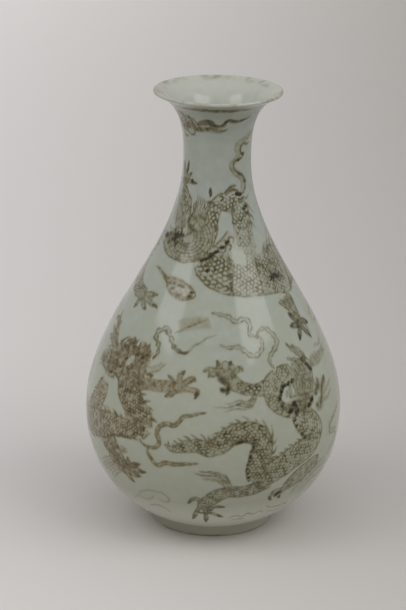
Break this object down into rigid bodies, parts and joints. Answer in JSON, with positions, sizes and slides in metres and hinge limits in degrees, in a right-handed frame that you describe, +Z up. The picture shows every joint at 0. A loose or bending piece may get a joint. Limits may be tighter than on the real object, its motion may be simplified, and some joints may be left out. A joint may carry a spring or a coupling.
{
  "type": "yuhuchunping vase",
  "caption": "Pear-shaped porcelain vase with a slender neck, flared mouth and low foot ring, painted with dragons and clouds under a pale glaze.",
  "frame": {"origin": "centre of the foot ring, on the plane that the vase stands on", "axes": "+Z up along the axis of the vase, -Y towards the viewer of the picture"},
  "size_m": [0.1846, 0.1846, 0.32],
  "materials": {
    "biscuit": "bare fired porcelain, matte",
    "slip": "fired luting slip, matte",
    "glaze": "clear pale grey-green glaze over painting, glossy"
  },
  "bodies": {
    "root": {"foot_ring": "biscuit", "foot_slip": "slip", "lower_body": "biscuit", "belly_slip": "slip", "upper_body": "biscuit", "neck_slip": "slip", "neck": "biscuit", "outer_glaze": "glaze", "inner_glaze": "glaze", "base_glaze": "glaze"}
  },
  "joints": []
}
